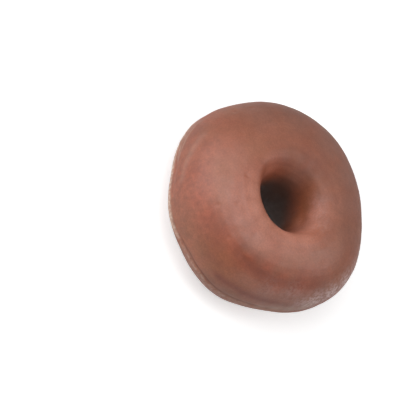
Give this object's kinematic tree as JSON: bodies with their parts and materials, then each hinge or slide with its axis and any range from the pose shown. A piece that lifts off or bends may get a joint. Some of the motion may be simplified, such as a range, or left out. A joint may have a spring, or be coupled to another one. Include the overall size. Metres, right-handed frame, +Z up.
{
  "type": "chocolate glazed doughnut",
  "caption": "Ring doughnut with an uneven rounded body and an off-centre hole, coated all over in satin milk chocolate, lying on its flat base.",
  "frame": {"origin": "on the surface that the doughnut lies on, under the middle of its outline", "axes": "+Z up through the hole, from the flat base to the domed top; -Y towards the side that is nearest in the picture"},
  "size_m": [0.0882, 0.0838, 0.038],
  "materials": {
    "chocolate_glaze": "satin set milk chocolate"
  },
  "bodies": {
    "root": {"glazed_doughnut": "chocolate_glaze"}
  },
  "joints": []
}
